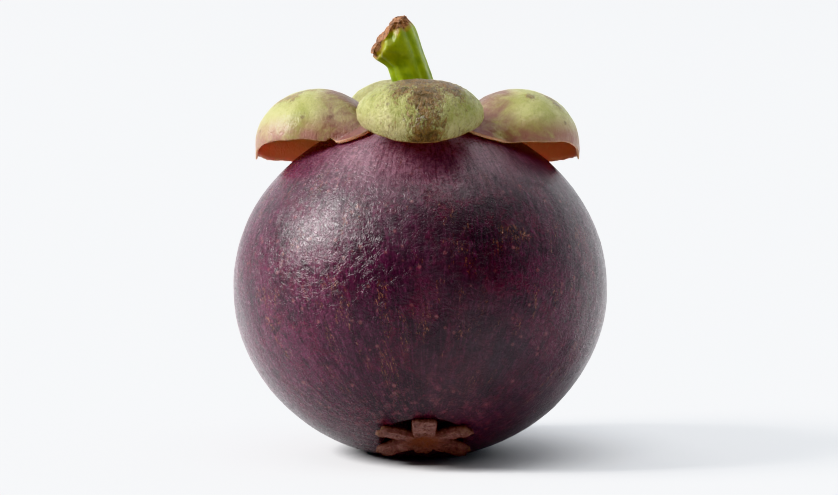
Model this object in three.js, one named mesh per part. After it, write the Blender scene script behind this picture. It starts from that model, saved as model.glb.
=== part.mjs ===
// A whole mangosteen as picked, standing on a small flat spot of its rind: the rind, two crossed
// pairs of domed sepals, the stalk stub with its swollen, torn end, and the woody stigma rosette.
// Millimetres, +Z up. The origin is the middle of the flat spot that the fruit stands on.
import * as THREE from "three";

// ---- Driving sizes, in millimetres ----
const clearance = 0.3; // gap between neighbouring pieces

const rindWidth = 62;
const rindHeight = 56.8; // of the full oval, before the flat spot is taken off
const restRadius = 8; // flat spot that the fruit stands on
const crownDimpleDepth = 2.3;
const crownDimpleRadius = 13;
const crownDimpleFloor = 0.25; // the dimple's flat floor, as a share of its radius

const receptacleRadius = 5.5; // the disc at the stalk's foot that holds the sepals
const receptacleHeight = 4.2;
const receptacleFlare = 2.2; // the stalk narrows to its own radius over this height
const stalkRadius = 3.45;
const stalkLength = 18.6; // from the crown to the highest point of the torn end
const stalkSwelling = 2.9; // how far the torn end bulges on its leaning side
const stalkSwellStart = 0.56; // where the bulge begins, as a share of the stalk's length
const stalkShoulder = 0.97; // and where the torn top begins
const stalkEdgeRounding = 0.22; // how much the torn end narrows at its edge, as a share
const stalkEdgeReach = 0.6; // over this share of the stalk's radius
const stalkTearTop = 0.35; // the tear's slope begins here, as a share of the radius right of the middle
const stalkLeanShift = 0.1; // the stalk's foot sits this far off the calyx's middle

const sepalThickness = 2.0; // at the top of the dome
const sepalRimThickness = 1.15;

const rosetteRadius = 8.1;
const rosetteWebRadius = 2.9; // where the lobes part
const rosetteThickness = 1.25;
const rosetteEndLobe = 0.87; // the uppermost and the lowest lobe are this share of the others
const rosetteRecess = 1.3; // the rind's hollow under the rosette
const rosetteRecessFloor = 0.55; // its floor and its edge, as shares of the rosette's radius
const rosetteRecessEdge = 1.2;
const rosetteTipLift = 0.45; // the lobes' tips stand this much further off the rind
const floorGap = 0.2; // the rosette stays this far above the surface that the fruit stands on

// ---- Counts and angles, in degrees ----
const rosetteLobes = 6;
const rosetteLobeHalfAngle = 17.5;
const rosetteLobeFlank = 7; // a lobe's side slopes down to the web over this angle
const crownLean = 3; // how far behind the top the calyx sits
const calyxLean = 3; // the calyx's plane leans back by this much
const stalkLean = 19.5; // to the left
const stalkTearAngle = 41; // slope of the torn end
const rosetteLean = 37.5; // how far in front of the lowest point the rosette sits
const rosetteYaw = 1.7; // and how far to the right of the front

const degrees = THREE.MathUtils.degToRad;
const smoothstep = THREE.MathUtils.smoothstep;
const lerp = THREE.MathUtils.lerp;

// ---- The rind as a formula, which every other piece is seated on ----
const halfWidth = rindWidth / 2;
const halfHeight = rindHeight / 2;
const rindCentre = new THREE.Vector3(0, 0, halfHeight * Math.sqrt(1 - (restRadius / halfWidth) ** 2));
const crownDirection = new THREE.Vector3(0, Math.sin(degrees(crownLean)), Math.cos(degrees(crownLean)));
const rosetteDirection = new THREE.Vector3(0, 0, -1)
  .applyAxisAngle(new THREE.Vector3(1, 0, 0), degrees(-rosetteLean))
  .applyAxisAngle(new THREE.Vector3(0, 0, 1), degrees(rosetteYaw));

// 1 over the floor of a hollow, rising smoothly to 0 at its radius.
function hollow(direction, middle, floorRadius, radius) {
  return 1 - smoothstep(direction.angleTo(middle) * halfHeight, floorRadius, radius);
}

// Distance from the rind's centre to its surface along a unit direction.
function rindRadius(direction) {
  const across = (direction.x ** 2 + direction.y ** 2) / halfWidth ** 2;
  const oval = 1 / Math.sqrt(across + direction.z ** 2 / halfHeight ** 2);
  const dimpleFloor = crownDimpleRadius * crownDimpleFloor;
  const recessFloor = rosetteRadius * rosetteRecessFloor;
  const recessEdge = rosetteRadius * rosetteRecessEdge;
  const radius =
    oval -
    crownDimpleDepth * hollow(direction, crownDirection, dimpleFloor, crownDimpleRadius) -
    rosetteRecess * hollow(direction, rosetteDirection, recessFloor, recessEdge);
  return direction.z < 0 ? Math.min(radius, rindCentre.z / -direction.z) : radius;
}

// The point that lies a given distance above the rind along a unit direction.
function aboveRind(direction, distance) {
  return direction.clone().multiplyScalar(rindRadius(direction) + distance).add(rindCentre);
}

// ---- Shaping ----
// A lathe about +Z whose vertices are moved by place(profile index, azimuth in radians from +X).
// A profile point on the axis has to land on one spot, whatever the azimuth.
function shapedLathe(profile, segments, place) {
  const geometry = new THREE.LatheGeometry(profile, segments);
  const position = geometry.attributes.position;
  for (let k = 0; k < position.count; k++) {
    const index = k % profile.length;
    const turn = Math.floor(k / profile.length) % segments;
    position.setXYZ(k, ...place(index, (turn / segments) * 2 * Math.PI).toArray());
  }
  geometry.computeVertexNormals();
  return geometry;
}

// Moves the vertices of a placed mesh out of the rind, each to its own distance above it.
function seatOnRind(mesh, distanceOf) {
  mesh.updateWorldMatrix(true, false);
  const toLocal = mesh.matrixWorld.clone().invert();
  const position = mesh.geometry.attributes.position;
  for (let k = 0; k < position.count; k++) {
    const point = new THREE.Vector3().fromBufferAttribute(position, k).applyMatrix4(mesh.matrixWorld);
    const direction = point.clone().sub(rindCentre).normalize();
    const least = rindRadius(direction) + distanceOf(k);
    if (point.distanceTo(rindCentre) < least)
      position.setXYZ(k, ...aboveRind(direction, distanceOf(k)).applyMatrix4(toLocal).toArray());
  }
  mesh.geometry.computeVertexNormals();
}

function named(name, geometry, material) {
  const mesh = new THREE.Mesh(geometry, material);
  mesh.name = name;
  return mesh;
}

// ---- The rind ----
function makeRind() {
  const segments = 60;
  const restAngle = Math.atan2(restRadius, rindCentre.z);
  const recessEnd = degrees(58); // angles up from the lowest point
  const dimpleStart = degrees(150);
  // The rings lie closer together over the rosette's hollow and the crown's dimple.
  const bands = [
    { from: restAngle, to: recessEnd, steps: 14 },
    { from: recessEnd, to: dimpleStart, steps: 12 },
    { from: dimpleStart, to: Math.PI, steps: 8 },
  ];
  const angles = [0, restAngle * 0.5, restAngle];
  for (const { from, to, steps } of bands)
    for (let i = 1; i <= steps; i++) angles.push(lerp(from, to, i / steps));
  const profile = angles.map((a) => new THREE.Vector2(Math.sin(a), -Math.cos(a)));
  const geometry = shapedLathe(profile, segments, (index, azimuth) => {
    const last = index === profile.length - 1;
    const across = last ? 0 : profile[index].x;
    const direction = new THREE.Vector3(
      across * Math.cos(azimuth),
      across * Math.sin(azimuth),
      profile[index].y,
    ).normalize();
    return aboveRind(direction, 0);
  });
  const material = new THREE.MeshStandardMaterial({ color: 0x43202d, roughness: 0.42, metalness: 0 });
  return named("rind", geometry, material);
}

// ---- The sepals ----
// Each is a dome with a rolled rim. reach is from the stalk's axis to the tip, radius the dome's
// half width and rise its top above the crown. A drop is how far the rim's widest line lies under the
// top: at the tip, at the sides and at the base. rimAngle is how far the rim rolls under at the tip,
// where 90 is a straight wall. baseLobe draws the rim of the base out into two ears on the rind, and
// liesOver is the room left between the sepal and the rind for another one's ears.
const outerPair = {
  reach: 27.0,
  radius: 10.4,
  rise: 6.6,
  drop: { tip: 9.6, side: 9.8, base: 9.2 },
  rimAngle: 98,
  baseLobe: 3.6,
  liesOver: 0,
};
const innerPair = {
  reach: 26.4,
  radius: 10.2,
  rise: 8.2,
  drop: { tip: 6.7, side: 5.5, base: 4.6 },
  rimAngle: 122,
  baseLobe: 0,
  liesOver: sepalRimThickness,
};
const baseLobeAzimuth = 131;
const baseLobeSpread = 21;
const sepals = [
  { name: "sepal_left", ...outerPair, reach: 27.3, azimuth: 180, roll: 8.5 },
  { name: "sepal_right", ...outerPair, reach: 26.4, azimuth: 1, roll: -8.5 },
  { name: "sepal_front", ...innerPair, azimuth: -90, roll: 0 },
  { name: "sepal_back", ...innerPair, reach: 25.8, azimuth: 95, roll: 0 },
];

// Half width seen from above, from the dome's middle towards an azimuth about that middle: that of
// the dome, and how much further the rim is drawn out. Neither reaches the receptacle.
function sepalOutline(sepal, azimuth) {
  const middle = sepal.reach - sepal.radius;
  const turn = THREE.MathUtils.radToDeg(Math.abs(Math.atan2(Math.sin(azimuth), Math.cos(azimuth))));
  const hole = receptacleRadius + clearance;
  const aside = middle * Math.sin(azimuth);
  const reachesHole = turn > 90 && Math.abs(aside) < hole;
  const toHole = reachesHole ? -middle * Math.cos(azimuth) - Math.sqrt(hole ** 2 - aside ** 2) : Infinity;
  const dome = Math.min(sepal.radius, toHole);
  const ear = sepal.baseLobe * Math.exp(-(((turn - baseLobeAzimuth) / baseLobeSpread) ** 2));
  return { dome, ear: Math.min(ear, toHole - dome) };
}

function makeSepal(sepal, calyx, material) {
  const outerSteps = 8;
  const innerSteps = 6;
  const segments = 40;
  // Share of the way from the dome's top to its rim, and which skin of the shell it is on.
  const stations = [];
  for (let i = 0; i <= innerSteps; i++) stations.push({ share: i / innerSteps, inside: true });
  for (let i = outerSteps; i >= 0; i--) stations.push({ share: i / outerSteps, inside: false });
  const profile = stations.map((s) => new THREE.Vector2(s.share, s.inside ? 0 : 1));

  const geometry = shapedLathe(profile, segments, (index, azimuth) => {
    const { share, inside } = stations[index];
    const tipward = Math.sqrt((1 + Math.cos(azimuth)) / 2);
    const { tip, side, base } = sepal.drop;
    const drop = lerp(side, Math.cos(azimuth) > 0 ? tip : base, Math.cos(azimuth) ** 2);
    const down = share * degrees(lerp(90, sepal.rimAngle, tipward));
    const { dome, ear } = sepalOutline(sepal, azimuth);
    const deep = drop - (inside ? sepalThickness : 0);
    const across = (dome - (inside ? sepalRimThickness : 0)) * Math.sin(down) + ear * share ** 3;
    return new THREE.Vector3(
      sepal.reach - sepal.radius + across * Math.cos(azimuth),
      across * Math.sin(azimuth),
      sepal.rise - (inside ? sepalThickness : 0) - deep * (1 - Math.cos(down)),
    );
  });

  const mesh = named(sepal.name, geometry, material);
  mesh.rotation.set(degrees(sepal.roll), 0, degrees(sepal.azimuth), "ZYX");
  calyx.add(mesh);
  seatOnRind(mesh, (k) => {
    const { share, inside } = stations[k % stations.length];
    return clearance + sepal.liesOver + (inside ? 0 : lerp(sepalThickness, sepalRimThickness, share));
  });
}

// ---- The stalk ----
function makeStalk(calyx) {
  const segments = 24;
  const neck = receptacleHeight + receptacleFlare;
  const swellStart = stalkLength * stalkSwellStart;
  const shoulder = stalkLength * stalkShoulder;
  const swellFull = lerp(swellStart, shoulder, 0.33);
  const profile = [
    [0, clearance],
    [receptacleRadius * 0.5, clearance],
    [receptacleRadius, clearance],
    [receptacleRadius, receptacleHeight * 0.7],
    [receptacleRadius * 0.9, receptacleHeight],
    [stalkRadius * 1.1, receptacleHeight + receptacleFlare * 0.4],
    [stalkRadius, neck],
    [stalkRadius, (neck + swellStart) / 2],
    [stalkRadius, swellStart],
    [stalkRadius, swellFull],
    [stalkRadius, lerp(swellStart, shoulder, 0.66)],
    [stalkRadius, shoulder],
    [stalkRadius * 0.8, stalkLength],
    [stalkRadius * 0.4, stalkLength],
    [0, stalkLength],
  ].map(([r, z]) => new THREE.Vector2(r, z));

  // The torn end slopes down to the left from its highest point at the right.
  const tearTop = stalkRadius * stalkTearTop;
  const tearSlope = Math.tan(degrees(stalkTearAngle));
  const tearHeight = (x) => stalkLength - tearSlope * Math.max(0, tearTop - x);
  const geometry = shapedLathe(profile, segments, (index, azimuth) => {
    const { x: radius, y: height } = profile[index];
    const leftward = (1 - Math.cos(azimuth)) / 2;
    const swell = stalkSwelling * smoothstep(height, swellStart, swellFull);
    const full = radius + (radius / stalkRadius) * swell * leftward ** 2;
    const below = tearHeight(full * Math.cos(azimuth)) - height;
    const wide = full * (1 - stalkEdgeRounding * (1 - smoothstep(below, 0, stalkRadius * stalkEdgeReach)));
    const x = wide * Math.cos(azimuth);
    const z = Math.min(height, tearHeight(x));
    const lean = Math.tan(degrees(stalkLean)) * Math.max(0, z - receptacleHeight);
    const shift = stalkLeanShift * smoothstep(z, receptacleHeight * 0.7, neck);
    return new THREE.Vector3(shift + x - lean, wide * Math.sin(azimuth), z);
  });
  const material = new THREE.MeshStandardMaterial({ color: 0x7c9a20, roughness: 0.5, metalness: 0 });
  const mesh = named("stalk", geometry, material);
  calyx.add(mesh);
  seatOnRind(mesh, () => clearance);
}

// ---- The stigma rosette ----
// Its outline, as a share of the way from the web to the lobes' tips, towards an azimuth about its middle.
function lobeShare(azimuth) {
  const pitch = (2 * Math.PI) / rosetteLobes;
  const off = Math.abs(azimuth - pitch * Math.round(azimuth / pitch));
  const flank = degrees(rosetteLobeFlank);
  const crest = degrees(rosetteLobeHalfAngle) - flank * 0.43;
  return 1 - smoothstep(off, crest, crest + flank);
}

function makeRosette() {
  const segments = rosetteLobes * 12;
  const shares = [0, 0.35, 0.62, 0.85, 1];
  const stations = [
    ...shares.map((share) => ({ share, top: 0 })),
    ...shares.toReversed().map((share) => ({ share, top: 1 })),
  ];
  const profile = stations.map((s) => new THREE.Vector2(s.share, s.top));

  // Axes of the plane that touches the rind at the rosette's middle. The first one points uphill,
  // so that one lobe does too.
  const uphill = new THREE.Vector3(0, 0, 1).projectOnPlane(rosetteDirection).normalize();
  const sideways = new THREE.Vector3().crossVectors(rosetteDirection, uphill);
  const middle = aboveRind(rosetteDirection, 0);
  const geometry = shapedLathe(profile, segments, (index, azimuth) => {
    const { share, top } = stations[index];
    const tip = rosetteRadius * (Math.abs(Math.cos(azimuth)) > 0.8 ? rosetteEndLobe : 1);
    const reach = share * lerp(rosetteWebRadius, tip, lobeShare(azimuth));
    const direction = middle
      .clone()
      .addScaledVector(uphill, reach * Math.cos(azimuth))
      .addScaledVector(sideways, reach * Math.sin(azimuth))
      .sub(rindCentre)
      .normalize();
    const lift = rosetteTipLift * smoothstep(reach, rosetteWebRadius, rosetteRadius);
    const point = aboveRind(direction, clearance + lift + top * rosetteThickness);
    point.z = Math.max(point.z, floorGap);
    return point;
  });
  const material = new THREE.MeshStandardMaterial({ color: 0x5b3226, roughness: 0.75, metalness: 0 });
  return named("stigma_rosette", geometry, material);
}

// ---- The fruit ----
const fruit = new THREE.Group();
fruit.add(makeRind(), makeRosette());

const calyx = new THREE.Group();
calyx.position.copy(aboveRind(crownDirection, 0));
calyx.rotation.x = degrees(-calyxLean);
fruit.add(calyx);
makeStalk(calyx);
const sepalMaterial = new THREE.MeshStandardMaterial({ color: 0x9aa456, roughness: 0.5, metalness: 0 });
for (const sepal of sepals) makeSepal(sepal, calyx, sepalMaterial);

export default fruit;
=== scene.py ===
"""The looks of a whole mangosteen: rind, four sepals, stalk and stigma rosette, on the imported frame."""

import math

import bpy
import numpy as np
from mathutils import Matrix, Vector


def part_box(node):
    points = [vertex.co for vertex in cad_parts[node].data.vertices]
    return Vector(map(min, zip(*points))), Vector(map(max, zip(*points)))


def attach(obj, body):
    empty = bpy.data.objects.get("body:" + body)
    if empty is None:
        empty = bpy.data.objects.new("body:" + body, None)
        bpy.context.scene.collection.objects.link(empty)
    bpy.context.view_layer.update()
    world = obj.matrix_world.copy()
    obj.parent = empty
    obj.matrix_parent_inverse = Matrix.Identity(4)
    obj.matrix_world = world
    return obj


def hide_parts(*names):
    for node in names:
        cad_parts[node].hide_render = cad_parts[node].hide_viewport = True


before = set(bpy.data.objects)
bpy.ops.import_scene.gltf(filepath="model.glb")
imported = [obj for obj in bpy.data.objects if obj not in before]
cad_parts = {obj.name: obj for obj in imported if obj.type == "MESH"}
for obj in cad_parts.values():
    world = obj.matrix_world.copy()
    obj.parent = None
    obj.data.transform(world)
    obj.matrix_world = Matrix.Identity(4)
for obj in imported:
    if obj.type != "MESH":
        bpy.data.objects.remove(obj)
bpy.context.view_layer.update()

MM = 0.001

# ---- Sizes and places, taken from the frame where it has them ----
rind_low, rind_high = (np.array(v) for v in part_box("rind"))
FLATTENING = 0.916
HALF_WIDTH = (rind_high[0] - rind_low[0]) / 2
HALF_HEIGHT = HALF_WIDTH * FLATTENING
REST_RADIUS = 8 * MM
CENTRE = np.array([0, 0, HALF_HEIGHT * math.sqrt(1 - (REST_RADIUS / HALF_WIDTH) ** 2)])
CROWN_DIP = 2.3 * MM
CROWN_DIP_RADIUS = 13 * MM
CROWN_LEAN = math.radians(3)
CALYX_LEAN = math.radians(3)
SEAT = 0.3 * MM

ROSETTE_RADIUS = 8.1 * MM
ROSETTE_LEAN = math.radians(37.5)
ROSETTE_YAW = math.radians(1.7)
ROSETTE_LOBES = 6
ROSETTE_THICKNESS = 1.25 * MM

# The pit under the rosette: its depth, and its floor's and edge's share of the rosette's radius.
SEATING_PIT = (1.3 * MM, 0.55, 1.2)
VISIBLE_PIT = (2.3 * MM, 0.70, 0.86)

STALK_RADIUS = 3.45 * MM
RECEPTACLE_RADIUS = 5.5 * MM
RECEPTACLE_HEIGHT = 4.2 * MM


def unit(v):
    return v / np.maximum(np.linalg.norm(v, axis=-1, keepdims=True), 1e-12)


def toward(x, y, z):
    return unit(np.array([x, y, z]))


CROWN = np.array([0, math.sin(CROWN_LEAN), math.cos(CROWN_LEAN)])
ROSETTE = np.array(
    [
        math.sin(ROSETTE_YAW) * math.sin(ROSETTE_LEAN),
        -math.cos(ROSETTE_YAW) * math.sin(ROSETTE_LEAN),
        -math.cos(ROSETTE_LEAN),
    ]
)


# ---- Noise and easing on arrays ----
def smooth(x, low, high):
    t = np.clip((x - low) / (high - low), 0, 1)
    return t * t * (3 - 2 * t)


def mix(a, b, t):
    return a + (b - a) * t


def bump_at(x, middle, width):
    return np.exp(-(((x - middle) / width) ** 2))


def hashed(ijk, seed):
    """A scrambled 32-bit number for each whole-numbered corner."""
    x, y, z = ijk[..., 0], ijk[..., 1], ijk[..., 2]
    h = (x * 374761393 + y * 668265263 + z * 2147483647 + seed * 1274126177) & 0xFFFFFFFF
    h = ((h ^ (h >> 13)) * 1274126177) & 0xFFFFFFFF
    return ((h ^ (h >> 16)) * 2246822519) & 0xFFFFFFFF


def noise(p, seed=0):
    """Gradient noise, about -1 to 1, at points p."""
    cell = np.floor(p).astype(np.int64)
    f = p - cell
    u = f * f * f * (f * (f * 6 - 15) + 10)
    total = np.zeros(p.shape[:-1])
    for corner in range(8):
        o = np.array([corner & 1, corner >> 1 & 1, corner >> 2 & 1])
        h = hashed(cell + o, seed)
        g = np.stack([(h & 1023), (h >> 10 & 1023), (h >> 20 & 1023)], -1) / 511.5 - 1
        w = np.prod(np.where(o == 1, u, 1 - u), axis=-1)
        total += w * np.sum(g * (f - o), axis=-1)
    return total * 1.3


def fbm(p, seed=0, octaves=3):
    """Noise with finer noise on it, each octave twice as fine and half as strong."""
    total, size = 0, 1.0
    for k in range(octaves):
        total = total + size * noise(p * 2.03**k, seed + 17 * k)
        size *= 0.5
    return total


def noise_vector(p, seed):
    """Three noises that share no pattern, as one vector."""
    return np.stack([noise(p, seed + k) for k in range(3)], -1)


def on_ring(beta, size, height):
    """Places round a ring at the angles beta, so that noise taken there meets itself."""
    return np.stack([np.cos(beta) * size, np.sin(beta) * size, height + 0 * beta], -1)


def ridged(p, seed=0, octaves=2):
    """Sharp creases between rounded cushions, 0 at a crease to about 1."""
    total, size = 0, 1.0
    for k in range(octaves):
        total = total + size * np.minimum(np.abs(noise(p * 2.1**k, seed + 31 * k)) * 2.2, 1)
        size *= 0.5
    return total / 1.5


# ---- The rind's shape, which the rest is seated on ----
def hollow(direction, middle, floor_radius, radius):
    """1 on the floor of a round hollow about middle, easing to 0 at its edge."""
    away = np.arccos(np.clip(direction @ middle, -1, 1)) * HALF_HEIGHT
    return 1 - smooth(away, floor_radius, radius)


def rind_radius(direction, pit=SEATING_PIT):
    """How far the rind reaches from its centre: a flattened ball with a dip, a pit and a resting flat."""
    across = (direction[..., 0] ** 2 + direction[..., 1] ** 2) / HALF_WIDTH**2
    radius = 1 / np.sqrt(across + direction[..., 2] ** 2 / HALF_HEIGHT**2)
    radius = radius - CROWN_DIP * hollow(direction, CROWN, CROWN_DIP_RADIUS * 0.25, CROWN_DIP_RADIUS)
    depth, floor_share, edge_share = pit
    pitted = hollow(direction, ROSETTE, ROSETTE_RADIUS * floor_share, ROSETTE_RADIUS * edge_share)
    radius = radius - depth * pitted
    down = np.maximum(-direction[..., 2], 1e-6)
    return np.minimum(radius, CENTRE[2] / down)


def above_rind(direction, distance):
    return direction * (rind_radius(direction) + distance)[..., None] + CENTRE


def seated(points, distance):
    """Points pushed out of the rind, to distance above it."""
    out = points - CENTRE
    length = np.linalg.norm(out, axis=-1)
    direction = unit(out)
    least = rind_radius(direction) + distance
    return direction * np.maximum(length, least)[..., None] + CENTRE


CROWN_POINT = above_rind(CROWN[None], np.zeros(1))[0]


# ---- Meshes ----
def volume(verts, faces):
    """Signed volume of a closed surface, negative where it faces in."""
    total = 0.0
    for corners in (3, 4):
        ring = np.array([face for face in faces if len(face) == corners], int).reshape(-1, corners)
        for k in range(1, corners - 1):
            a, b, c = verts[ring[:, 0]], verts[ring[:, k]], verts[ring[:, k + 1]]
            total += np.sum(a * np.cross(b, c)) / 6
    return total


def make_mesh(name, verts, faces, material, attributes=None):
    mesh = bpy.data.meshes.new(name)
    if volume(verts, faces) < 0:
        faces = [tuple(reversed(face)) for face in faces]
    mesh.from_pydata(verts.tolist(), [], faces)
    mesh.validate()
    for key, values in (attributes or {}).items():
        vector = values.ndim == 2
        layer = mesh.attributes.new(key, "FLOAT_VECTOR" if vector else "FLOAT", "POINT")
        layer.data.foreach_set("vector" if vector else "value", values.astype(np.float32).ravel())
    mesh.polygons.foreach_set("use_smooth", [True] * len(mesh.polygons))
    mesh.materials.append(material)
    obj = bpy.data.objects.new(name, mesh)
    bpy.context.scene.collection.objects.link(obj)
    return obj


def piece(obj, node):
    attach(obj, "root")
    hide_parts(node)


def full_turn(columns):
    """A row of angles, evenly spread round a circle."""
    return (np.arange(columns) / columns * 2 * math.pi)[None]


def out_and_back(out_rows, back_rows):
    """Two columns: the share of the way to the rim, out and then back, and 1 on the way out."""
    share = np.concatenate([np.linspace(0, 1, out_rows), np.linspace(1, 0, back_rows)])[:, None]
    going_out = np.concatenate([np.ones(out_rows), np.zeros(back_rows)])[:, None]
    return share, going_out


def closed_grid(rows, columns):
    """Faces of rows of closed rings, with the first and the last row drawn to one point each."""
    faces = []
    for r in range(rows - 3):
        a = 1 + r * columns
        for c in range(columns):
            d = (c + 1) % columns
            faces.append((a + c, a + d, a + columns + d, a + columns + c))
    last = 1 + (rows - 2) * columns
    for c in range(columns):
        d = (c + 1) % columns
        faces.append((0, 1 + d, 1 + c))
        faces.append((last, last - columns + c, last - columns + d))
    return faces


def grid_vertices(points):
    """The vertices that closed_grid's faces use, from points[row, column]."""
    inner = points[1:-1].reshape(-1, points.shape[-1])
    return np.concatenate([points[0].mean(0, keepdims=True), inner, points[-1].mean(0, keepdims=True)])


def make_grid_mesh(name, points, material, values):
    """A closed skin through points[row, column], with each kind of value at every point."""
    attributes = {key: grid_vertices(value[..., None]).ravel() for key, value in values.items()}
    return make_mesh(name, grid_vertices(points), closed_grid(*points.shape[:2]), material, attributes)


def ring_normals(points):
    """Unit normals of a ring grid, roughly, from its neighbours."""
    along = np.gradient(points, axis=0)
    around = np.roll(points, -1, 1) - np.roll(points, 1, 1)
    return unit(np.cross(around, along))


# ---- Materials ----
class Surface:
    """A material being wired up. Inputs may be values or the outputs of other nodes."""

    def __init__(self, name):
        self.material = bpy.data.materials.new(name)
        self.material.use_nodes = True
        self.tree = self.material.node_tree
        self.shader = self.tree.nodes["Principled BSDF"]

    def put(self, node, inputs):
        for key, value in inputs.items():
            socket = node.inputs[key]
            if isinstance(value, bpy.types.NodeSocket):
                self.tree.links.new(value, socket)
            else:
                socket.default_value = value
        return node

    def add(self, kind, inputs=None, output=0, **settings):
        node = self.tree.nodes.new(kind)
        for key, value in settings.items():
            setattr(node, key, value)
        self.put(node, inputs or {})
        return node.outputs[output]

    def coords(self):
        return self.add("ShaderNodeTexCoord", output="Object")

    def attribute(self, name, output="Fac"):
        return self.add("ShaderNodeAttribute", output=output, attribute_name=name)

    def scaled(self, vector, scale, location=(0, 0, 0)):
        return self.add("ShaderNodeMapping", {"Vector": vector, "Scale": scale, "Location": location})

    def noise(self, vector, scale, detail=3.0, roughness=0.55, distortion=0.0):
        """Noise from 0 to 1, with scale cycles a metre."""
        inputs = {"Vector": vector, "Scale": scale, "Detail": detail, "Roughness": roughness}
        return self.add("ShaderNodeTexNoise", inputs | {"Distortion": distortion})

    def cells(self, vector, scale, feature="F1", output="Distance"):
        inputs = {"Vector": vector, "Scale": scale}
        return self.add("ShaderNodeTexVoronoi", inputs, output=output, feature=feature)

    def dots(self, vector, scale, small, large, rarest, rare):
        """Round dots in a few of the cells: solid within small of the middle, gone past large."""
        distance = self.cells(vector, scale)
        pick = self.add("ShaderNodeSeparateColor", {"Color": self.cells(vector, scale, output="Color")})
        return self.math("MULTIPLY", self.span(distance, small, large, 1, 0), self.span(pick, rarest, rare))

    def math(self, operation, a, b=0.0):
        return self.add("ShaderNodeMath", {0: a, 1: b}, operation=operation)

    def span(self, value, low, high, to_low=0.0, to_high=1.0):
        """value's stretch from low to high, eased, as to_low to to_high."""
        inputs = {"Value": value, "From Min": low, "From Max": high, "To Min": to_low, "To Max": to_high}
        return self.add("ShaderNodeMapRange", inputs, interpolation_type="SMOOTHSTEP")

    def blend(self, factor, a, b):
        """Colour a, turned to colour b by factor."""
        node = self.tree.nodes.new("ShaderNodeMix")
        node.data_type = "RGBA"
        for index, value in ((0, factor), (6, a), (7, b)):
            socket = node.inputs[index]
            if isinstance(value, bpy.types.NodeSocket):
                self.tree.links.new(value, socket)
            else:
                socket.default_value = (*value, 1) if isinstance(value, tuple) else value
        return node.outputs[2]

    def tint(self, colour, mask, weight, other):
        """colour, turned to other by weight where mask is 1."""
        return self.blend(self.math("MULTIPLY", mask, weight), colour, other)

    def bump(self, height, distance, strength):
        return self.add("ShaderNodeBump", {"Height": height, "Distance": distance, "Strength": strength})

    def finish(self, inputs):
        self.put(self.shader, inputs)
        return self.material


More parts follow.
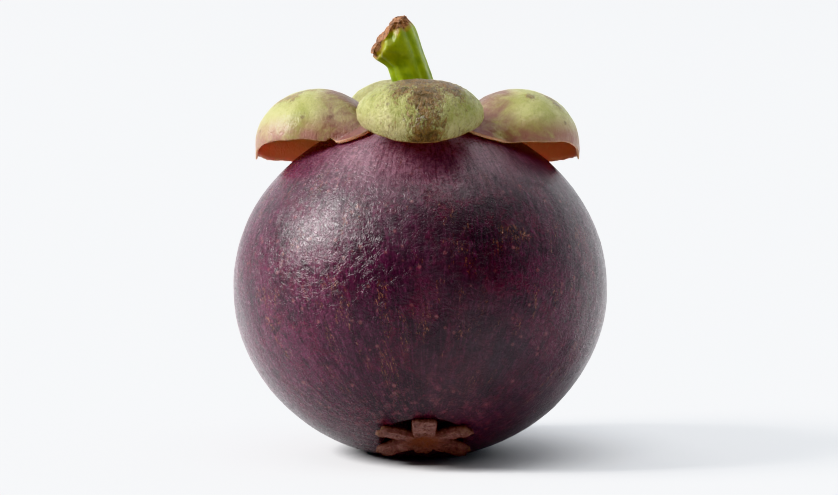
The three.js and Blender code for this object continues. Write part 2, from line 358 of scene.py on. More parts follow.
def rind_material():
    """Dark wine to plum skin, streaked along the growth, with scars, dots, bloom and leathery creases, and
    painted light and shade.
    """
    s = Surface("rind_skin")
    place = s.coords()
    flow = s.attribute("flow", "Vector")
    lit_sides = s.attribute("lit_sides")
    near_rosette = s.attribute("near_rosette")
    black, crease_shade = (0.010, 0.0035, 0.006), (0.006, 0.002, 0.004)

    streaks = s.noise(s.scaled(flow, (52, 52, 20)), 1.0, 4.0, 0.65, 0.9)
    long_streaks = s.noise(s.scaled(flow, (22, 22, 7), (3, 1, 5)), 1.0, 4.0, 0.65, 1.2)
    clouds = s.noise(place, 75, 5.0, 0.65, 0.7)
    patches = s.noise(s.scaled(place, (1, 1, 0.8), (0.3, 0.1, 0)), 160, 5.0, 0.68, 1.0)
    mottle = s.noise(s.scaled(place, (1, 1, 0.9), (0.1, 0.7, 0.2)), 430, 5.0, 0.72, 0.8)
    grain = s.noise(place, 1700, 3.0, 0.7)

    # From dark wine to plum with painted light: paler where the key light falls on the left and on the right
    # front lit by the bright wall, and paler where the streaks run, more so on those lit sides.
    dark = s.blend(s.span(clouds, 0.40, 0.60), (0.0075, 0.0026, 0.0045), (0.022, 0.0026, 0.0060))
    plum = s.blend(s.span(clouds, 0.40, 0.60), (0.040, 0.0095, 0.022), (0.074, 0.0120, 0.034))
    colour = s.blend(lit_sides, dark, plum)
    colour = s.blend(s.span(patches, 0.50, 0.62, 0, 0.50), colour, (0.072, 0.0056, 0.018))
    colour = s.blend(s.span(mottle, 0.50, 0.60, 0, 0.70), colour, black)
    faint = s.span(lit_sides, 0, 1, 0.2, 0.45)
    strong = s.span(lit_sides, 0, 1, 0.32, 0.62)
    colour = s.tint(colour, s.span(long_streaks, 0.50, 0.64), faint, (0.078, 0.018, 0.042))
    colour = s.tint(colour, s.span(streaks, 0.50, 0.64), strong, (0.118, 0.032, 0.064))
    colour = s.blend(s.span(grain, 0.46, 0.62, 0, 0.45), colour, (0.010, 0.004, 0.007))

    # Tan scars in clusters, drawn out along the growth, and scattered pale dots.
    scars = s.noise(s.scaled(flow, (58, 58, 42), (1, 2, 3)), 1.0, 4.0, 0.7, 1.8)
    clusters = s.noise(s.scaled(flow, (8, 8, 6), (5, 2, 1)), 1.0, 3.0, 0.6, 0.4)
    scarred = s.math("MULTIPLY", s.span(scars, 0.57, 0.63), s.span(clusters, 0.55, 0.62))
    colour = s.tint(colour, scarred, s.span(near_rosette, 0.0, 0.7, 0.75, 0.2), (0.27, 0.120, 0.070))
    colour = s.tint(colour, s.dots(place, 750, 0.12, 0.34, 0.82, 0.90), 0.55, (0.19, 0.065, 0.070))

    # A thin greyish bloom, pale streaks and painted light round the crown, and specks and a painted dark lip
    # of shade round the rosette.
    # The bloom lies on the right front, where it is also a painted sheen of the bright wall.
    bloom_and_sheen = s.math("MULTIPLY", s.span(s.noise(place, 45, 4.0, 0.6), 0.42, 0.68), s.attribute("bloom_and_sheen"))
    colour = s.tint(colour, bloom_and_sheen, 0.28, (0.080, 0.055, 0.068))
    # Painted light that lifts the shade under the sepals, paler along the streaks.
    crown = s.math("MULTIPLY", s.attribute("crown_painted_light"), s.span(streaks, 0.34, 0.58, 0.35, 1))
    colour = s.tint(colour, crown, 0.85, (0.290, 0.160, 0.200))
    specks = s.math("MULTIPLY", near_rosette, s.span(s.noise(place, 900, 3.0, 0.7), 0.50, 0.62))
    colour = s.tint(colour, specks, 0.45, (0.150, 0.050, 0.060))
    # Painted shade in the pit round the rosette.
    colour = s.tint(colour, s.attribute("pit_shade"), 0.9, (0.012, 0.008, 0.007))

    # Leathery cushions between creases darkened with painted shade, finer grain on them, and the growth
    # streaks.
    ripple = s.noise(s.scaled(place, (1, 1, 1.2)), 520, 3.0, 0.6, 2.2)
    crease = s.math("ABSOLUTE", s.math("SUBTRACT", ripple, 0.5))
    colour = s.blend(s.span(crease, 0.0, 0.06, 0.48, 0), colour, crease_shade)
    cushions = s.math("MULTIPLY", s.span(crease, 0.0, 0.14), 0.38)
    pores = s.math("MULTIPLY", s.noise(place, 1500, 3.0, 0.65, 0.8), 0.55)
    height = s.math("ADD", s.math("ADD", cushions, pores), s.math("MULTIPLY", streaks, 0.6))
    rough = s.math("ADD", s.span(grain, 0.3, 0.7, 0.24, 0.34), s.math("MULTIPLY", bloom_and_sheen, 0.08))
    return s.finish(
        {
            "Base Color": colour,
            "Roughness": rough,
            "Normal": s.bump(height, 0.13 * MM, 0.6),
            "Specular IOR Level": 0.36,
        }
    )


def sepal_material(name, russet_amount, flush_amount, wrinkle, weathered):
    """Olive green skin with a wine flush and russet outside, orange brown inside."""
    s = Surface(name)
    place = s.coords()
    rim = s.attribute("rim")
    inside = s.attribute("inside")
    russet = s.attribute("russet")

    clouds = s.noise(place, 130, 4.0, 0.6, 0.4)
    fine = s.noise(place, 900, 4.0, 0.7, 0.6)
    colour = s.blend(s.span(clouds, 0.35, 0.65), (0.235, 0.240, 0.064), (0.36, 0.340, 0.150))
    colour = s.blend(s.span(fine, 0.48, 0.62, 0, weathered), colour, (0.150, 0.160, 0.028))

    # A wine flush, pinker along the rim and browner towards the stalk.
    ragged = s.span(s.noise(place, 260, 5.0, 0.7, 0.6), 0.15, 0.62, 0, flush_amount)
    colour = s.tint(colour, ragged, s.span(rim, 0.62, 0.95), (0.215, 0.088, 0.082))
    colour = s.tint(colour, ragged, s.span(s.attribute("base"), 0.0, 0.36), (0.125, 0.044, 0.040))

    # Russet: brown skin with crisp, ragged edges, densest in the creases, and freckles.
    mottle = s.noise(s.scaled(place, (1.4, 1, 0.7)), 850, 5.0, 0.72, 1.6)
    reached = s.math("ADD", s.math("MULTIPLY", russet, 0.36), s.math("MULTIPLY", s.attribute("crease"), 0.10))
    spots = s.span(s.math("ADD", mottle, reached), 0.65, 0.80)
    brown = s.blend(s.span(fine, 0.38, 0.62), (0.055, 0.024, 0.009), (0.190, 0.098, 0.038))
    colour = s.tint(colour, spots, russet_amount, brown)
    colour = s.tint(colour, s.dots(place, 420, 0.06, 0.22, 0.78, 0.84), 0.6, (0.07, 0.030, 0.016))
    colour = s.tint(colour, s.span(rim, 0.985, 1.0), 0.8, (0.40, 0.21, 0.11))

    under_clouds = s.span(s.noise(place, 300, 4.0, 0.6), 0.35, 0.65)
    under = s.blend(under_clouds, (0.40, 0.100, 0.034), (0.58, 0.23, 0.092))
    # Painted glow of light shining through the thin rim: the inside pales to cream towards it.
    under = s.blend(s.span(rim, 0.60, 0.97, 0, 0.9), under, (0.95, 0.60, 0.40))
    colour = s.blend(inside, colour, under)

    wrinkles = s.noise(s.scaled(place, (1.3, 1, 0.8)), 1500, 4.0, 0.7, 1.4)
    creases = s.cells(s.scaled(place, (1.2, 1, 0.7)), 1100, feature="DISTANCE_TO_EDGE")
    height = s.math("ADD", wrinkles, s.math("MULTIPLY", s.span(creases, 0, 0.2), 0.3))
    height = s.math("MULTIPLY", height, s.span(russet, 0.0, 0.8, 0.55, 1.6))
    return s.finish(
        {
            "Base Color": colour,
            "Roughness": s.span(fine, 0.3, 0.7, 0.32, 0.46),
            "Normal": s.bump(height, 0.40 * MM, wrinkle),
            "Specular IOR Level": 0.38,
            "Subsurface Weight": s.math("MULTIPLY", inside, s.span(rim, 0.45, 0.95, 0.02, 0.20)),
            "Subsurface Scale": 2 * MM,
        }
    )


def stalk_material():
    """Green, ridged skin, yellower at the bulge, with bark on the torn end."""
    s = Surface("stalk_skin")
    place = s.coords()

    along = s.noise(s.scaled(place, (1, 1, 0.22)), 1100, 4.0, 0.6, 0.5)
    clouds = s.noise(place, 420, 3.0, 0.6, 0.5)
    colour = s.blend(s.span(clouds, 0.35, 0.65), (0.115, 0.175, 0.002), (0.225, 0.290, 0.004))
    colour = s.tint(colour, s.attribute("ridge"), 0.35, (0.27, 0.33, 0.030))
    colour = s.blend(s.span(along, 0.5, 0.72, 0, 0.4), colour, (0.17, 0.21, 0.022))
    colour = s.tint(colour, s.attribute("bulge"), 0.85, (0.150, 0.125, 0.001))

    # Bark with a ragged edge, and a drying band along it.
    fray = s.math("MULTIPLY", s.noise(place, 750, 5.0, 0.7, 0.8), 0.5)
    ragged = s.math("ADD", s.attribute("torn"), fray)
    torn = s.span(ragged, 0.74, 0.90)
    knots = s.span(s.noise(place, 1300, 5.0, 0.7, 0.6), 0.40, 0.60)
    bark = s.blend(knots, (0.050, 0.021, 0.010), (0.23, 0.105, 0.050))
    bark = s.blend(s.span(s.noise(place, 2300, 3.0, 0.7), 0.55, 0.68, 0, 0.6), bark, (0.42, 0.26, 0.15))
    colour = s.blend(s.span(ragged, 0.54, 0.74, 0, 0.75), colour, (0.190, 0.120, 0.004))
    colour = s.blend(torn, colour, bark)

    grain = s.math("MULTIPLY", s.noise(place, 1700, 4.0, 0.7), 0.5)
    height = s.math("ADD", s.math("MULTIPLY", along, 0.6), grain)
    return s.finish(
        {
            "Base Color": colour,
            "Roughness": s.span(torn, 0, 1, 0.40, 0.85),
            "Normal": s.bump(height, 0.22 * MM, 0.6),
            "Specular IOR Level": 0.35,
            "Subsurface Weight": 0.05,
            "Subsurface Scale": 1 * MM,
        }
    )


def rosette_material():
    """Rough brown wood, redder at the hub and greener at the tips."""
    s = Surface("stigma_wood")
    place = s.coords()
    reach = s.attribute("reach")
    grain = s.noise(place, 1000, 5.0, 0.7, 0.7)
    speck = s.noise(place, 2600, 3.0, 0.7)
    colour = s.blend(s.span(grain, 0.35, 0.65), (0.058, 0.028, 0.026), (0.180, 0.086, 0.078))
    # The wood is tinted paler on its raised grit, so the hollows between stay darker: painted shade.
    colour = s.tint(colour, s.span(s.attribute("grit"), -0.5, 0.5), 0.55, (0.200, 0.105, 0.088))
    colour = s.blend(s.span(speck, 0.52, 0.64, 0, 0.55), colour, (0.26, 0.150, 0.115))
    hub = s.math("MULTIPLY", s.span(reach, 0.08, 0.50, 1, 0), s.span(grain, 0.30, 0.60))
    colour = s.tint(colour, hub, 0.8, (0.130, 0.036, 0.014))
    tips = s.math("MULTIPLY", s.span(reach, 0.80, 1.0), s.span(speck, 0.40, 0.60))
    colour = s.tint(colour, tips, 0.6, (0.095, 0.060, 0.030))
    height = s.math("ADD", grain, s.math("MULTIPLY", speck, 0.5))
    return s.finish(
        {
            "Base Color": colour,
            "Roughness": 0.72,
            "Normal": s.bump(height, 0.60 * MM, 0.8),
            "Specular IOR Level": 0.3,
        }
    )


# ---- The rind ----
def cube_sphere(n):
    """Unit directions on a sphere and the quads between them, evenly spread."""
    t = np.tan(np.linspace(-math.pi / 4, math.pi / 4, n + 1))
    u, v = np.meshgrid(t, t, indexing="ij")
    one = np.ones_like(u)
    sides = [(one, u, v), (-one, v, u), (v, one, u), (u, -one, v), (u, v, one), (v, u, -one)]
    points = np.concatenate([np.stack(side, -1).reshape(-1, 3) for side in sides])
    points = unit(points)
    key = np.round(points * 1e6).astype(np.int64)
    _, first, back = np.unique(key, axis=0, return_index=True, return_inverse=True)
    back = back.ravel()
    faces = []
    for side in range(6):
        index = back[side * (n + 1) ** 2 : (side + 1) * (n + 1) ** 2].reshape(n + 1, n + 1)
        a, b = index[:-1, :-1].ravel(), index[1:, :-1].ravel()
        c, d = index[1:, 1:].ravel(), index[:-1, 1:].ravel()
        faces.append(np.stack([a, b, c, d], -1))
    return points[first], np.concatenate(faces)


def flow_of(points):
    """Where points lie in the fruit's growth: their turn about its own axis and how far up it they are."""
    low = above_rind(ROSETTE[None], np.zeros(1))[0]
    axis = unit(CROWN_POINT - low)
    side = unit(np.cross(axis, np.array([0.0, 1.0, 0.0])))
    other = np.cross(axis, side)
    rel = points - low
    turn = np.arctan2(rel @ other, rel @ side)
    along = (rel @ axis) / np.linalg.norm(CROWN_POINT - low)
    return np.stack([np.cos(turn), np.sin(turn), along], -1)


def gathered(direction, reach=math.radians(26), share=0.55):
    """Directions drawn together at the lip of the rosette's pit, about half way from its middle to reach."""
    away = np.arccos(np.clip(direction @ ROSETTE, -1, 1))
    turn = 2 * math.pi * away / reach
    moved = np.where(away < reach, away + share * reach / (2 * math.pi) * np.sin(turn), away)
    aside = unit(direction - ROSETTE * (direction @ ROSETTE)[:, None])
    return ROSETTE * np.cos(moved)[:, None] + aside * np.sin(moved)[:, None]


def rind_relief(ground, flow):
    """Millimetres that the skin rises: broad swells, growth streaks and leathery wrinkles."""
    relief = 0.18 * fbm(ground / (17 * MM), 3, 2)
    relief += 0.05 * fbm(ground / (6 * MM), 5, 2)
    relief += 0.025 * fbm(flow * np.array([14, 14, 2.5]), 9, 2)
    fine = ground * np.array([1, 1, 1.2]) / (1.5 * MM)
    fine = fine + 0.6 * noise_vector(fine * 0.6, 21)
    relief += 0.018 * ridged(fine, 13, 2)
    relief += 0.012 * noise(flow * np.array([34, 34, 16]), 15)
    return relief


def rind_shades(direction, flow):
    """What the rind's material needs to know at each point."""
    to_rosette = np.arccos(np.clip(direction @ ROSETTE, -1, 1)) * HALF_HEIGHT
    to_crown = np.arccos(np.clip(direction @ CROWN, -1, 1)) * HALF_HEIGHT
    facing = unit(direction * np.array([1, 1, 0]) + 1e-9)
    # Painted light round the crown is strongest at the front, where it lifts the shade under the front sepal.
    on_front = mix(0.35, 1, smooth(-facing[:, 1], 0.55, 0.98))
    # Painted light: the side the key light falls on, and the right front lit by the bright wall.
    lit_left = smooth(direction @ toward(-0.9, -0.1, 0.25), -0.15, 0.75)
    lit_right = smooth(direction @ toward(0.85, -0.45, 0.1), 0.72, 0.97)
    return {
        "flow": flow,
        "near_rosette": 1 - smooth(to_rosette, 8 * MM, 20 * MM),
        "crown_painted_light": (1 - smooth(to_crown, 19 * MM, 31 * MM)) * on_front,
        # Bloom and painted sheen on the right front.
        "bloom_and_sheen": smooth(direction @ toward(0.75, -0.55, 0.25), -0.2, 0.8),
        # Painted shade: dark in the pit round the rosette.
        "pit_shade": 1 - smooth(to_rosette, 6.0 * MM, 8.4 * MM),
        "lit_sides": np.maximum(lit_left, 0.65 * lit_right),
    }


def make_rind(material):
    direction, faces = cube_sphere(128)
    direction = gathered(direction)
    ground = CENTRE + direction * rind_radius(direction, VISIBLE_PIT)[:, None]
    flow = flow_of(ground)

    # The resting spot stays flat.
    from_rest = np.hypot(ground[:, 0], ground[:, 1])
    calm = np.where(direction[:, 2] < -0.6, smooth(from_rest, REST_RADIUS, REST_RADIUS * 1.5), 1)
    points = ground + direction * (rind_relief(ground, flow) * MM * calm)[:, None]
    points[:, 2] = np.maximum(points[:, 2], 0)
    quads = [tuple(int(i) for i in face) for face in faces]
    piece(make_mesh("rind_skin", points, quads, material, rind_shades(direction, flow)), "rind")


# ---- The sepals ----
# Lengths in millimetres. The rim drops by tip, side and base at a sepal's ends and sides, and turns
# under by roll_under degrees. The inner pair lies over the rims of the outer pair.
OUTER = dict(radius=10.4, rise=6.6, tip=9.6, side=9.8, base=9.2, roll_under=98, ear=3.6, lies_over=0.0)
INNER = dict(radius=10.2, rise=8.2, tip=6.7, side=5.5, base=4.6, roll_under=122, ear=0.0, lies_over=1.15)
THICK_TOP, THICK_RIM = 1.7, 0.55
EAR_AT, EAR_WIDTH = 131, 21
HOLE_RADIUS = RECEPTACLE_RADIUS / MM + 0.3
UNCUT = 99.0


def to_calyx(points, azimuth, roll):
    """From a sepal's or the stalk's own axes, in millimetres, to the shared frame, in metres."""
    turn = Matrix.Rotation(-CALYX_LEAN, 3, "X") @ Matrix.Rotation(azimuth, 3, "Z")
    turn = turn @ Matrix.Rotation(roll, 3, "X")
    return points * MM @ np.array(turn).T + CROWN_POINT


def sepal_outline(beta, turn, shape, middle):
    """From above: how far the dome reaches, how much its ears add, and where the stalk's foot cuts it."""
    about = np.abs(turn)
    aside = middle * np.sin(beta)
    to_hole = np.where(
        (about > 90) & (np.abs(aside) < HOLE_RADIUS),
        -middle * np.cos(beta) - np.sqrt(np.maximum(HOLE_RADIUS**2 - aside**2, 0)),
        UNCUT,
    )
    dome = np.minimum(shape["radius"], to_hole)
    ear = np.minimum(shape["ear"] * bump_at(about, EAR_AT, EAR_WIDTH), to_hole - dome)
    return dome, ear, to_hole < UNCUT


def sepal_drop(beta, turn, share, shape, details):
    """How far the rim drops, less where it lifts or is notched and more where it hooks down."""
    ends = np.where(np.cos(beta) > 0, shape["tip"], shape["base"])
    drop = mix(shape["side"], ends, np.cos(beta) ** 2)
    for kind, sign, power in (("rim_lift", -1, 2), ("notch", -1, 6), ("hook", 1, 5)):
        for at, width, amount in details.get(kind, ()):
            drop = drop + sign * amount * bump_at(turn, at, width) * share**power
    return drop


def sepal_relief(points, share, inside, seed, details):
    """Millimetres that creases and dents raise the skin, less on the inside, and the creases alone."""
    p = points + seed * 7.3
    grain = np.array(details.get("grain", (1, 1, 1)))
    warped = (p + 0.9 * noise_vector(p / 1.9, seed + 4)) * grain
    crumple = ridged(warped / details.get("crease_size", 1.9), seed + 7, 2) - 0.5
    relief = 0.16 * fbm(p / 5.0, seed + 8, 2) + details["crease_depth"] * crumple
    relief += 0.03 * fbm(p / 0.9, seed + 9, 1)
    relief = relief * (1 - smooth(share, 0.9, 1.0) * 0.8) * np.where(inside > 0.5, 0.4, 1)
    return relief * smooth(share, 0.0, 0.03), crumple


def make_sepal(node, shape, azimuth, roll, reach, seed, material, details):
    """A hollow dome that curls down at its rim, built inside first and then outside."""
    columns = 168
    outer_rows, inner_rows = ((62, 34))
    share, inside = out_and_back(inner_rows, outer_rows)
    share, inside, beta = np.broadcast_arrays(share, inside, full_turn(columns))
    turn = np.degrees(np.arctan2(np.sin(beta), np.cos(beta)))

    middle = reach - shape["radius"]
    dome, ear, cut = sepal_outline(beta, turn, shape, middle)
    wave = 0.22 * noise(on_ring(beta, 3.1, seed), seed)
    wave += 0.10 * noise(on_ring(beta, 9, seed), seed + 1)
    wave = wave * np.where(cut, 0.0, details.get("wave", 1.0))
    roll_under = mix(90, shape["roll_under"], np.sqrt((1 + np.cos(beta)) / 2))
    down = share * np.radians(roll_under)
    drop = sepal_drop(beta, turn, share, shape, details)

    # The inner skin lies deeper by the sepal's thickness, and meets the outer one in a rounded rim.
    thick = mix(THICK_TOP, THICK_RIM, share)
    rounded = np.sqrt(np.clip(1 - smooth(share, 0.93, 1.0) ** 2, 0, 1))
    depth = np.where(inside > 0.5, thick * mix(0.5, 1, rounded), 0)
    across = (dome - depth) * np.sin(down) + ear * share**3 + wave * share**4
    fall = (drop + wave * 0.8 * share**4 - depth) * (1 - np.cos(down))
    height = shape["rise"] - depth - fall
    points = np.stack([middle + across * np.cos(beta), across * np.sin(beta), height], -1)

    well_below = np.array([middle, 0, shape["rise"] - 12])
    normal = ring_normals(points)
    normal = normal * np.sign(np.sum(normal * (points - well_below), -1, keepdims=True))
    relief, crumple = sepal_relief(points, share, inside, seed, details)
    points = points + normal * relief[..., None]
    world = to_calyx(points.reshape(-1, 3), azimuth, roll).reshape(points.shape)
    world = seated(world, SEAT + (shape["lies_over"] + np.where(inside > 0.5, 0, thick)) * MM)

    russet = np.zeros_like(share)
    for x, y, width, amount in details["russet"]:
        away = np.hypot(points[..., 0] - middle - x, points[..., 1] - y)
        russet = np.maximum(russet, amount * bump_at(away, 0, width))
    values = {
        "rim": share,
        "inside": inside,
        "base": smooth(-points[..., 0], -middle - 2, -middle + 9),
        "russet": russet,
        "crease": 0.5 - crumple,
    }
    piece(make_grid_mesh(node + "_skin", world, material, values), node)


def make_sepals():
    """Rim details are degrees from the tip, width and amount; russet patches are x, y, size, amount."""
    side_skin = sepal_material("sepal_side_skin", 0.70, 0.90, 0.35, 0.30)
    front_skin = sepal_material("sepal_front_skin", 0.90, 0.25, 1.0, 0.55)
    left_reach = -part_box("sepal_left")[0][0] / MM
    right_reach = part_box("sepal_right")[1][0] / MM
    front_reach, back_reach = 26.4, 25.8
    left_details = {
        "rim_lift": ((38, 26, 1.0), (78, 26, 0.9)),
        "notch": ((103, 3.5, 0.7),),
        "hook": ((2, 8, 0.9), (118, 14, 0.5)),
        "russet": ((3.9, 4.5, 1.7, 1.0), (5.8, 3.2, 1.3, 0.9), (1.5, 3.0, 1.5, 0.7)),
        "crease_depth": 0.018,
    }
    right_details = {
        "rim_lift": ((-38, 26, 1.0), (-80, 24, 0.5)),
        "hook": ((-2, 8, 0.9),),
        "russet": ((5.2, -3.4, 1.2, 1.1), (6.4, -4.4, 0.9, 1.0), (1.9, -6.0, 0.9, 1.0)),
        "crease_depth": 0.018,
    }
    front_details = {
        "russet": (
            (3, -0.5, 4.2, 1.0),
            (-2, 3.5, 5.0, 1.0),
            (4, 4.0, 3.5, 0.9),
            (8, 0.8, 3.2, 1.0),
            (6, -3, 2.5, 0.7),
        ),
        "crease_depth": 0.15,
        "crease_size": 1.05,
        "wave": 0.4,
        "grain": (0.7, 1.25, 0.7),
    }
    back_details = {
        "russet": ((3, 2, 3.5, 0.6), (5, -3, 2.5, 0.6)),
        "crease_depth": 0.07,
        "crease_size": 2.0,
    }
    raised = dict(INNER, rise=8.5)
    turns = {"left": (180, 8.5), "right": (1, -8.5), "front": (-90, 0), "back": (98, 2)}
    turns = {side: [math.radians(angle) for angle in angles] for side, angles in turns.items()}
    make_sepal("sepal_left", OUTER, *turns["left"], left_reach, 11, side_skin, left_details)
    make_sepal("sepal_right", OUTER, *turns["right"], right_reach, 12, side_skin, right_details)
    make_sepal("sepal_front", INNER, *turns["front"], front_reach, 13, front_skin, front_details)
    make_sepal("sepal_back", raised, *turns["back"], back_reach, 14, front_skin, back_details)


# ---- The stalk ----
# Lengths in millimetres, upward from the crown along the calyx.
STALK_WALL = STALK_RADIUS / MM
STALK_TOP = 18.6
FOOT_WIDE, FOOT_TOP = RECEPTACLE_RADIUS / MM, RECEPTACLE_HEIGHT / MM
FOOT_BOTTOM = SEAT / MM
NECK = FOOT_TOP + 2.2
SPARE_HEIGHT = 0.4
SWELL = 3.4
SWELL_START, SHOULDER = STALK_TOP * 0.56, STALK_TOP * 0.97
TEAR_SLOPE = math.tan(math.radians(41))
STALK_SLANT = math.tan(math.radians(19.5))


def stalk_profile():
    """Radius and height of the foot, then of the wall, then of the cap, from the bottom up."""
    corners = [
        (0, FOOT_BOTTOM),
        (FOOT_WIDE * 0.9, FOOT_BOTTOM),
        (FOOT_WIDE, 0.8),
        (FOOT_WIDE, FOOT_TOP * 0.7),
        (FOOT_WIDE * 0.9, FOOT_TOP),
        (STALK_WALL * 1.1, FOOT_TOP + 0.9),
        (STALK_WALL, NECK),
    ]
    foot = np.concatenate([np.linspace(a, b, 7)[:-1] for a, b in zip(corners[:-1], corners[1:])])
    wall_z = np.linspace(NECK, STALK_TOP + SPARE_HEIGHT, 70)
    wall = np.stack([np.full_like(wall_z, STALK_WALL), wall_z], -1)
    cap_share = np.linspace(1, 0, 26)[1:]
    cap = np.stack([STALK_WALL * cap_share, np.full_like(cap_share, STALK_TOP + SPARE_HEIGHT)], -1)
    return foot, wall, cap


def torn_height(x, y):
    """The height of the torn end, which falls away to the left of its crest."""
    crest = STALK_WALL * 0.35
    rough = 0.70 * fbm(np.stack([x / 2.0, y / 2.0, np.zeros_like(x)], -1), 41, 3)
    tilt = 0.14 * np.minimum(y - 0.5, 1.0)
    return STALK_TOP - 0.15 - TEAR_SLOPE * np.maximum(0, crest - x) + tilt + rough


def make_stalk(material):
    columns = 140
    foot, wall, cap = stalk_profile()
    profile = np.concatenate([foot, wall, cap])
    on_cap = (np.arange(len(profile)) >= len(foot) + len(wall))[:, None]
    radius, height, on_cap, beta = np.broadcast_arrays(
        profile[:, :1], profile[:, 1:], on_cap, full_turn(columns)
    )

    # The wall swells to the left, and narrows a little as it comes up to the tear.
    leftward = (1 - np.cos(beta)) / 2
    swell = SWELL * smooth(height, SWELL_START - 0.5, mix(SWELL_START, SHOULDER, 0.33))
    full = radius + radius / STALK_WALL * swell * leftward**2
    below = torn_height(full * np.cos(beta), full * np.sin(beta)) - height
    wide = full * (1 - 0.22 * (1 - smooth(below, 0, STALK_WALL * 0.6)) ** 1.5)

    # Ridges that run up the stalk, and low lumps.
    ridge = np.abs(np.cos(beta * 4.5 + 0.5 * noise(on_ring(beta, 2.6, height * 0.08), 51))) ** 1.5
    upper = smooth(height, FOOT_TOP, NECK)
    wide = wide * (1 + (0.075 * (ridge - 0.5)) * upper)
    lumps = fbm(on_ring(beta, 1.8, height * 0.35), 53, 2)
    wide = wide * (1 + 0.035 * lumps * upper)

    # Cut off at the tear, with the cap's middle standing a little proud.
    x, y = wide * np.cos(beta), wide * np.sin(beta)
    top = torn_height(x, y)
    proud = np.where(on_cap, 0.35 * (1 - smooth(radius / STALK_WALL, 0.3, 0.95)), 0)
    z = np.minimum(height, top + proud)
    slant = STALK_SLANT * np.maximum(0, z - FOOT_TOP)
    points = np.stack([0.1 * smooth(z, FOOT_TOP * 0.7, NECK) + x - slant, y, z], -1)
    world = to_calyx(points.reshape(-1, 3), 0, 0).reshape(points.shape)
    world = seated(world, np.full(height.shape, SEAT))

    # The bark covers the cap and runs a little down the wall, less so in a gap at the front.
    torn = np.clip(1 - (top - z) / 2.6, 0, 1)
    torn = np.where(on_cap, 1.0, torn * (z > FOOT_TOP + 4))
    torn = torn - np.where(on_cap, 0, 0.62) * bump_at(x, -1.7, 1.2) * smooth(-y, -0.8, 1.2)
    values = {
        "torn": torn,
        "ridge": ridge**3 * upper,
        "bulge": leftward**1.5 * smooth(z, SWELL_START - 0.5, SWELL_START + 2.0),
    }
    piece(make_grid_mesh("stalk_skin", world, material, values), "stalk")


# ---- The rosette ----
# The lobes in turn, from the top one. Widths, notches and heights are in millimetres; reach is a
# share of the radius and flare is how much wider a lobe gets on its way out.
LOBE_REACH = np.array([0.88, 1.0, 0.97, 0.55, 1.0, 1.02])
LOBE_HALF_WIDTH = np.array([1.9, 1.12, 1.6, 1.6, 1.6, 1.15])
LOBE_FLARE = np.array([0.2, 0.25, -0.05, 0.0, -0.05, 0.25])
LOBE_NOTCH = np.array([0.15, 0.5, 0.25, 0.2, 0.3, 0.35])
HUB_RADIUS = 2.4
HUB_GAP, TIP_RISE = 0.42, 0.40


def make_rosette(material):
    """Flat woody lobes that meet in a sunken hub, bent to the rind they lie on."""
    columns = 336
    beta = full_turn(columns)
    pitch = 2 * math.pi / ROSETTE_LOBES
    lobe = np.round(beta / pitch)
    off = np.degrees(beta - lobe * pitch)
    lobe = (lobe % ROSETTE_LOBES).astype(int)

    # The outline: each lobe's two flanks, flared outward, and its notched tip.
    radius = ROSETTE_RADIUS / MM
    half = LOBE_HALF_WIDTH[lobe]
    aside = np.maximum(np.abs(np.sin(np.radians(off))), 0.02)
    flared = LOBE_FLARE[lobe] * (np.minimum(half / aside, radius) / radius - 0.5)
    flank = half * (1 + flared) / aside
    tip = LOBE_REACH[lobe] * radius - LOBE_NOTCH[lobe] * bump_at(off, 1.5, 4.5)
    outline = (tip**-9.0 + flank**-9.0) ** (-1 / 9) + 0.22 * fbm(on_ring(beta, 11, 0), 61, 3)

    share, top = out_and_back(30, 12)
    beta, outline, off, half, share, top = np.broadcast_arrays(beta, outline, off, half, share, top)
    reach = share * outline
    flat_x, flat_y = reach * np.cos(beta), reach * np.sin(beta)

    # How high the wood stands: rising to the tips, arched and grooved along each lobe, and gritty.
    margin = np.clip(reach * np.abs(np.sin(np.radians(off))) / half, 0, 1)
    arch = 0.22 * np.sqrt(np.clip(1 - margin**2, 0, 1)) - 0.12 * bump_at(margin, 0, 0.35) - 0.10
    arch = arch * smooth(reach, HUB_RADIUS, 4.6)
    rounding = 0.55 * smooth(share, 0.84, 1.0)
    hub = 0.7 * (1 - smooth(reach, 0.6, 3.2))
    grit = fbm(np.stack([flat_x, flat_y, 0 * reach], -1) / 0.9, 63, 3)
    thick = ROSETTE_THICKNESS / MM - hub + arch - rounding
    lift = HUB_GAP + TIP_RISE * smooth(reach, HUB_RADIUS, radius) + np.where(top > 0.5, thick, 0)
    lift = lift + np.where(top > 0.5, 0.24 * grit, 0) * smooth(share, 0, 0.1)

    uphill = unit(np.array([0, 0, 1.0]) - ROSETTE * ROSETTE[2])
    sideways = np.cross(ROSETTE, uphill)
    middle = above_rind(ROSETTE[None], np.zeros(1))[0]
    flat = middle + MM * (flat_x[..., None] * uphill + flat_y[..., None] * sideways)
    points = above_rind(unit(flat - CENTRE), lift * MM)
    points[..., 2] = np.maximum(points[..., 2], 0.2 * MM)
    values = {"reach": reach / radius, "grit": grit}
    obj = make_grid_mesh("stigma_rosette_wood", points, material, values)
    piece(obj, "stigma_rosette")


# ---- Floor, light and camera ----
FLOOR_HALF = 9.0
PANEL_DISTANCE = 14.0


def stage_material():
    s = Surface("paper")
    return s.finish({"Base Color": (0.75, 0.76, 0.775, 1), "Roughness": 0.95, "Specular IOR Level": 0.1})


def make_stage():
    """A pale square floor, wide enough to fill the view behind the fruit."""
    corners = [(x * FLOOR_HALF, y * FLOOR_HALF, 0) for x, y in ((-1, -1), (1, -1), (1, 1), (-1, 1))]
    make_mesh("paper_floor", np.array(corners), [(0, 1, 2, 3)], stage_material())


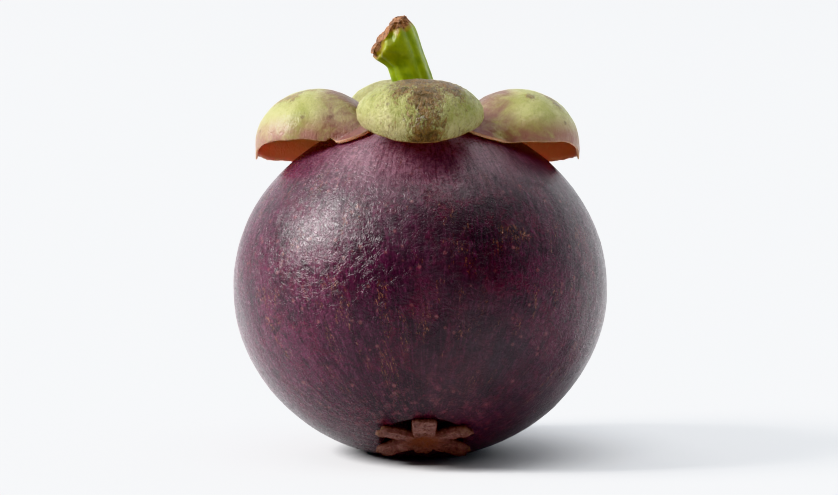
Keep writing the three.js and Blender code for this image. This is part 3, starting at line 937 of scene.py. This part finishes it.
def softbox(name, direction, angles, radiance, colour):
    """A bright panel that faces the fruit, so many degrees wide and high as seen from it."""
    width, height = (2 * PANEL_DISTANCE * math.tan(math.radians(angle) / 2) for angle in angles)
    light = bpy.data.lights.new(name, "AREA")
    light.shape = "RECTANGLE"
    light.size, light.size_y = width, height
    light.energy = radiance * math.pi * width * height
    light.color = colour
    obj = bpy.data.objects.new(name, light)
    aim = Vector(CENTRE)
    obj.location = aim + Vector(direction).normalized() * PANEL_DISTANCE
    obj.rotation_euler = (aim - obj.location).to_track_quat("-Z", "Y").to_euler()
    bpy.context.scene.collection.objects.link(obj)


def light_scene():
    """White walls behind and beside the fruit, darkness on its near side, and three bright panels."""
    world = bpy.data.worlds.new("studio")
    bpy.context.scene.world = world
    world.use_nodes = True
    tree = world.node_tree
    background = tree.nodes["Background"]
    where = tree.nodes.new("ShaderNodeTexCoord")
    split = tree.nodes.new("ShaderNodeSeparateXYZ")
    tree.links.new(where.outputs["Generated"], split.inputs[0])

    def ramp(axis, low, high, to_low, to_high):
        node = tree.nodes.new("ShaderNodeMapRange")
        node.interpolation_type = "SMOOTHSTEP"
        tree.links.new(split.outputs[axis], node.inputs["Value"])
        for key, value in (("From Min", low), ("From Max", high), ("To Min", to_low), ("To Max", to_high)):
            node.inputs[key].default_value = value
        return node.outputs[0]

    def combined(operation, one, other):
        node = tree.nodes.new("ShaderNodeMath")
        node.operation = operation
        tree.links.new(one, node.inputs[0])
        tree.links.new(other, node.inputs[1])
        return node.outputs[0]

    # The left wall is the darker one, but for a pale strip where it meets the floor.
    left_wall = combined("MAXIMUM", ramp("X", -1.0, -0.5, 0.3, 1.0), ramp("Z", 0.05, 0.10, 1.0, 0.0))
    strength = combined("MULTIPLY", ramp("Y", -0.68, 0.08, 0.02, 1.4), left_wall)
    tree.links.new(strength, background.inputs["Strength"])
    background.inputs["Color"].default_value = (0.95, 0.975, 1.0, 1)
    softbox("key", (-0.811, -0.12, 0.565), (18, 27), 43.0, (1.0, 0.985, 0.97))
    softbox("ceiling", (0.05, -0.25, 1.0), (50, 14), 5.2, (1.0, 0.99, 0.98))
    softbox("front_fill", (0.0, -0.80, 0.60), (60, 34), 0.16, (1.0, 1.0, 1.0))


def make_camera():
    """A long lens in front of the fruit and a little above it."""
    camera = bpy.data.objects.new("camera", bpy.data.cameras.new("camera"))
    bpy.context.scene.collection.objects.link(camera)
    distance, elevation = 0.56, math.radians(5.5)
    aim = Vector((-0.2 * MM, 0, 33.93 * MM))
    camera.location = aim + Vector((0, -distance * math.cos(elevation), distance * math.sin(elevation)))
    camera.rotation_euler = (aim - camera.location).to_track_quat("-Z", "Y").to_euler()
    camera.data.sensor_width = 36
    camera.data.lens = 145.5
    camera.data.clip_start = 0.01
    bpy.context.scene.camera = camera


make_rind(rind_material())
make_sepals()
make_stalk(stalk_material())
make_rosette(rosette_material())
make_stage()
light_scene()
make_camera()
bpy.context.scene.view_settings.view_transform = "Khronos PBR Neutral"
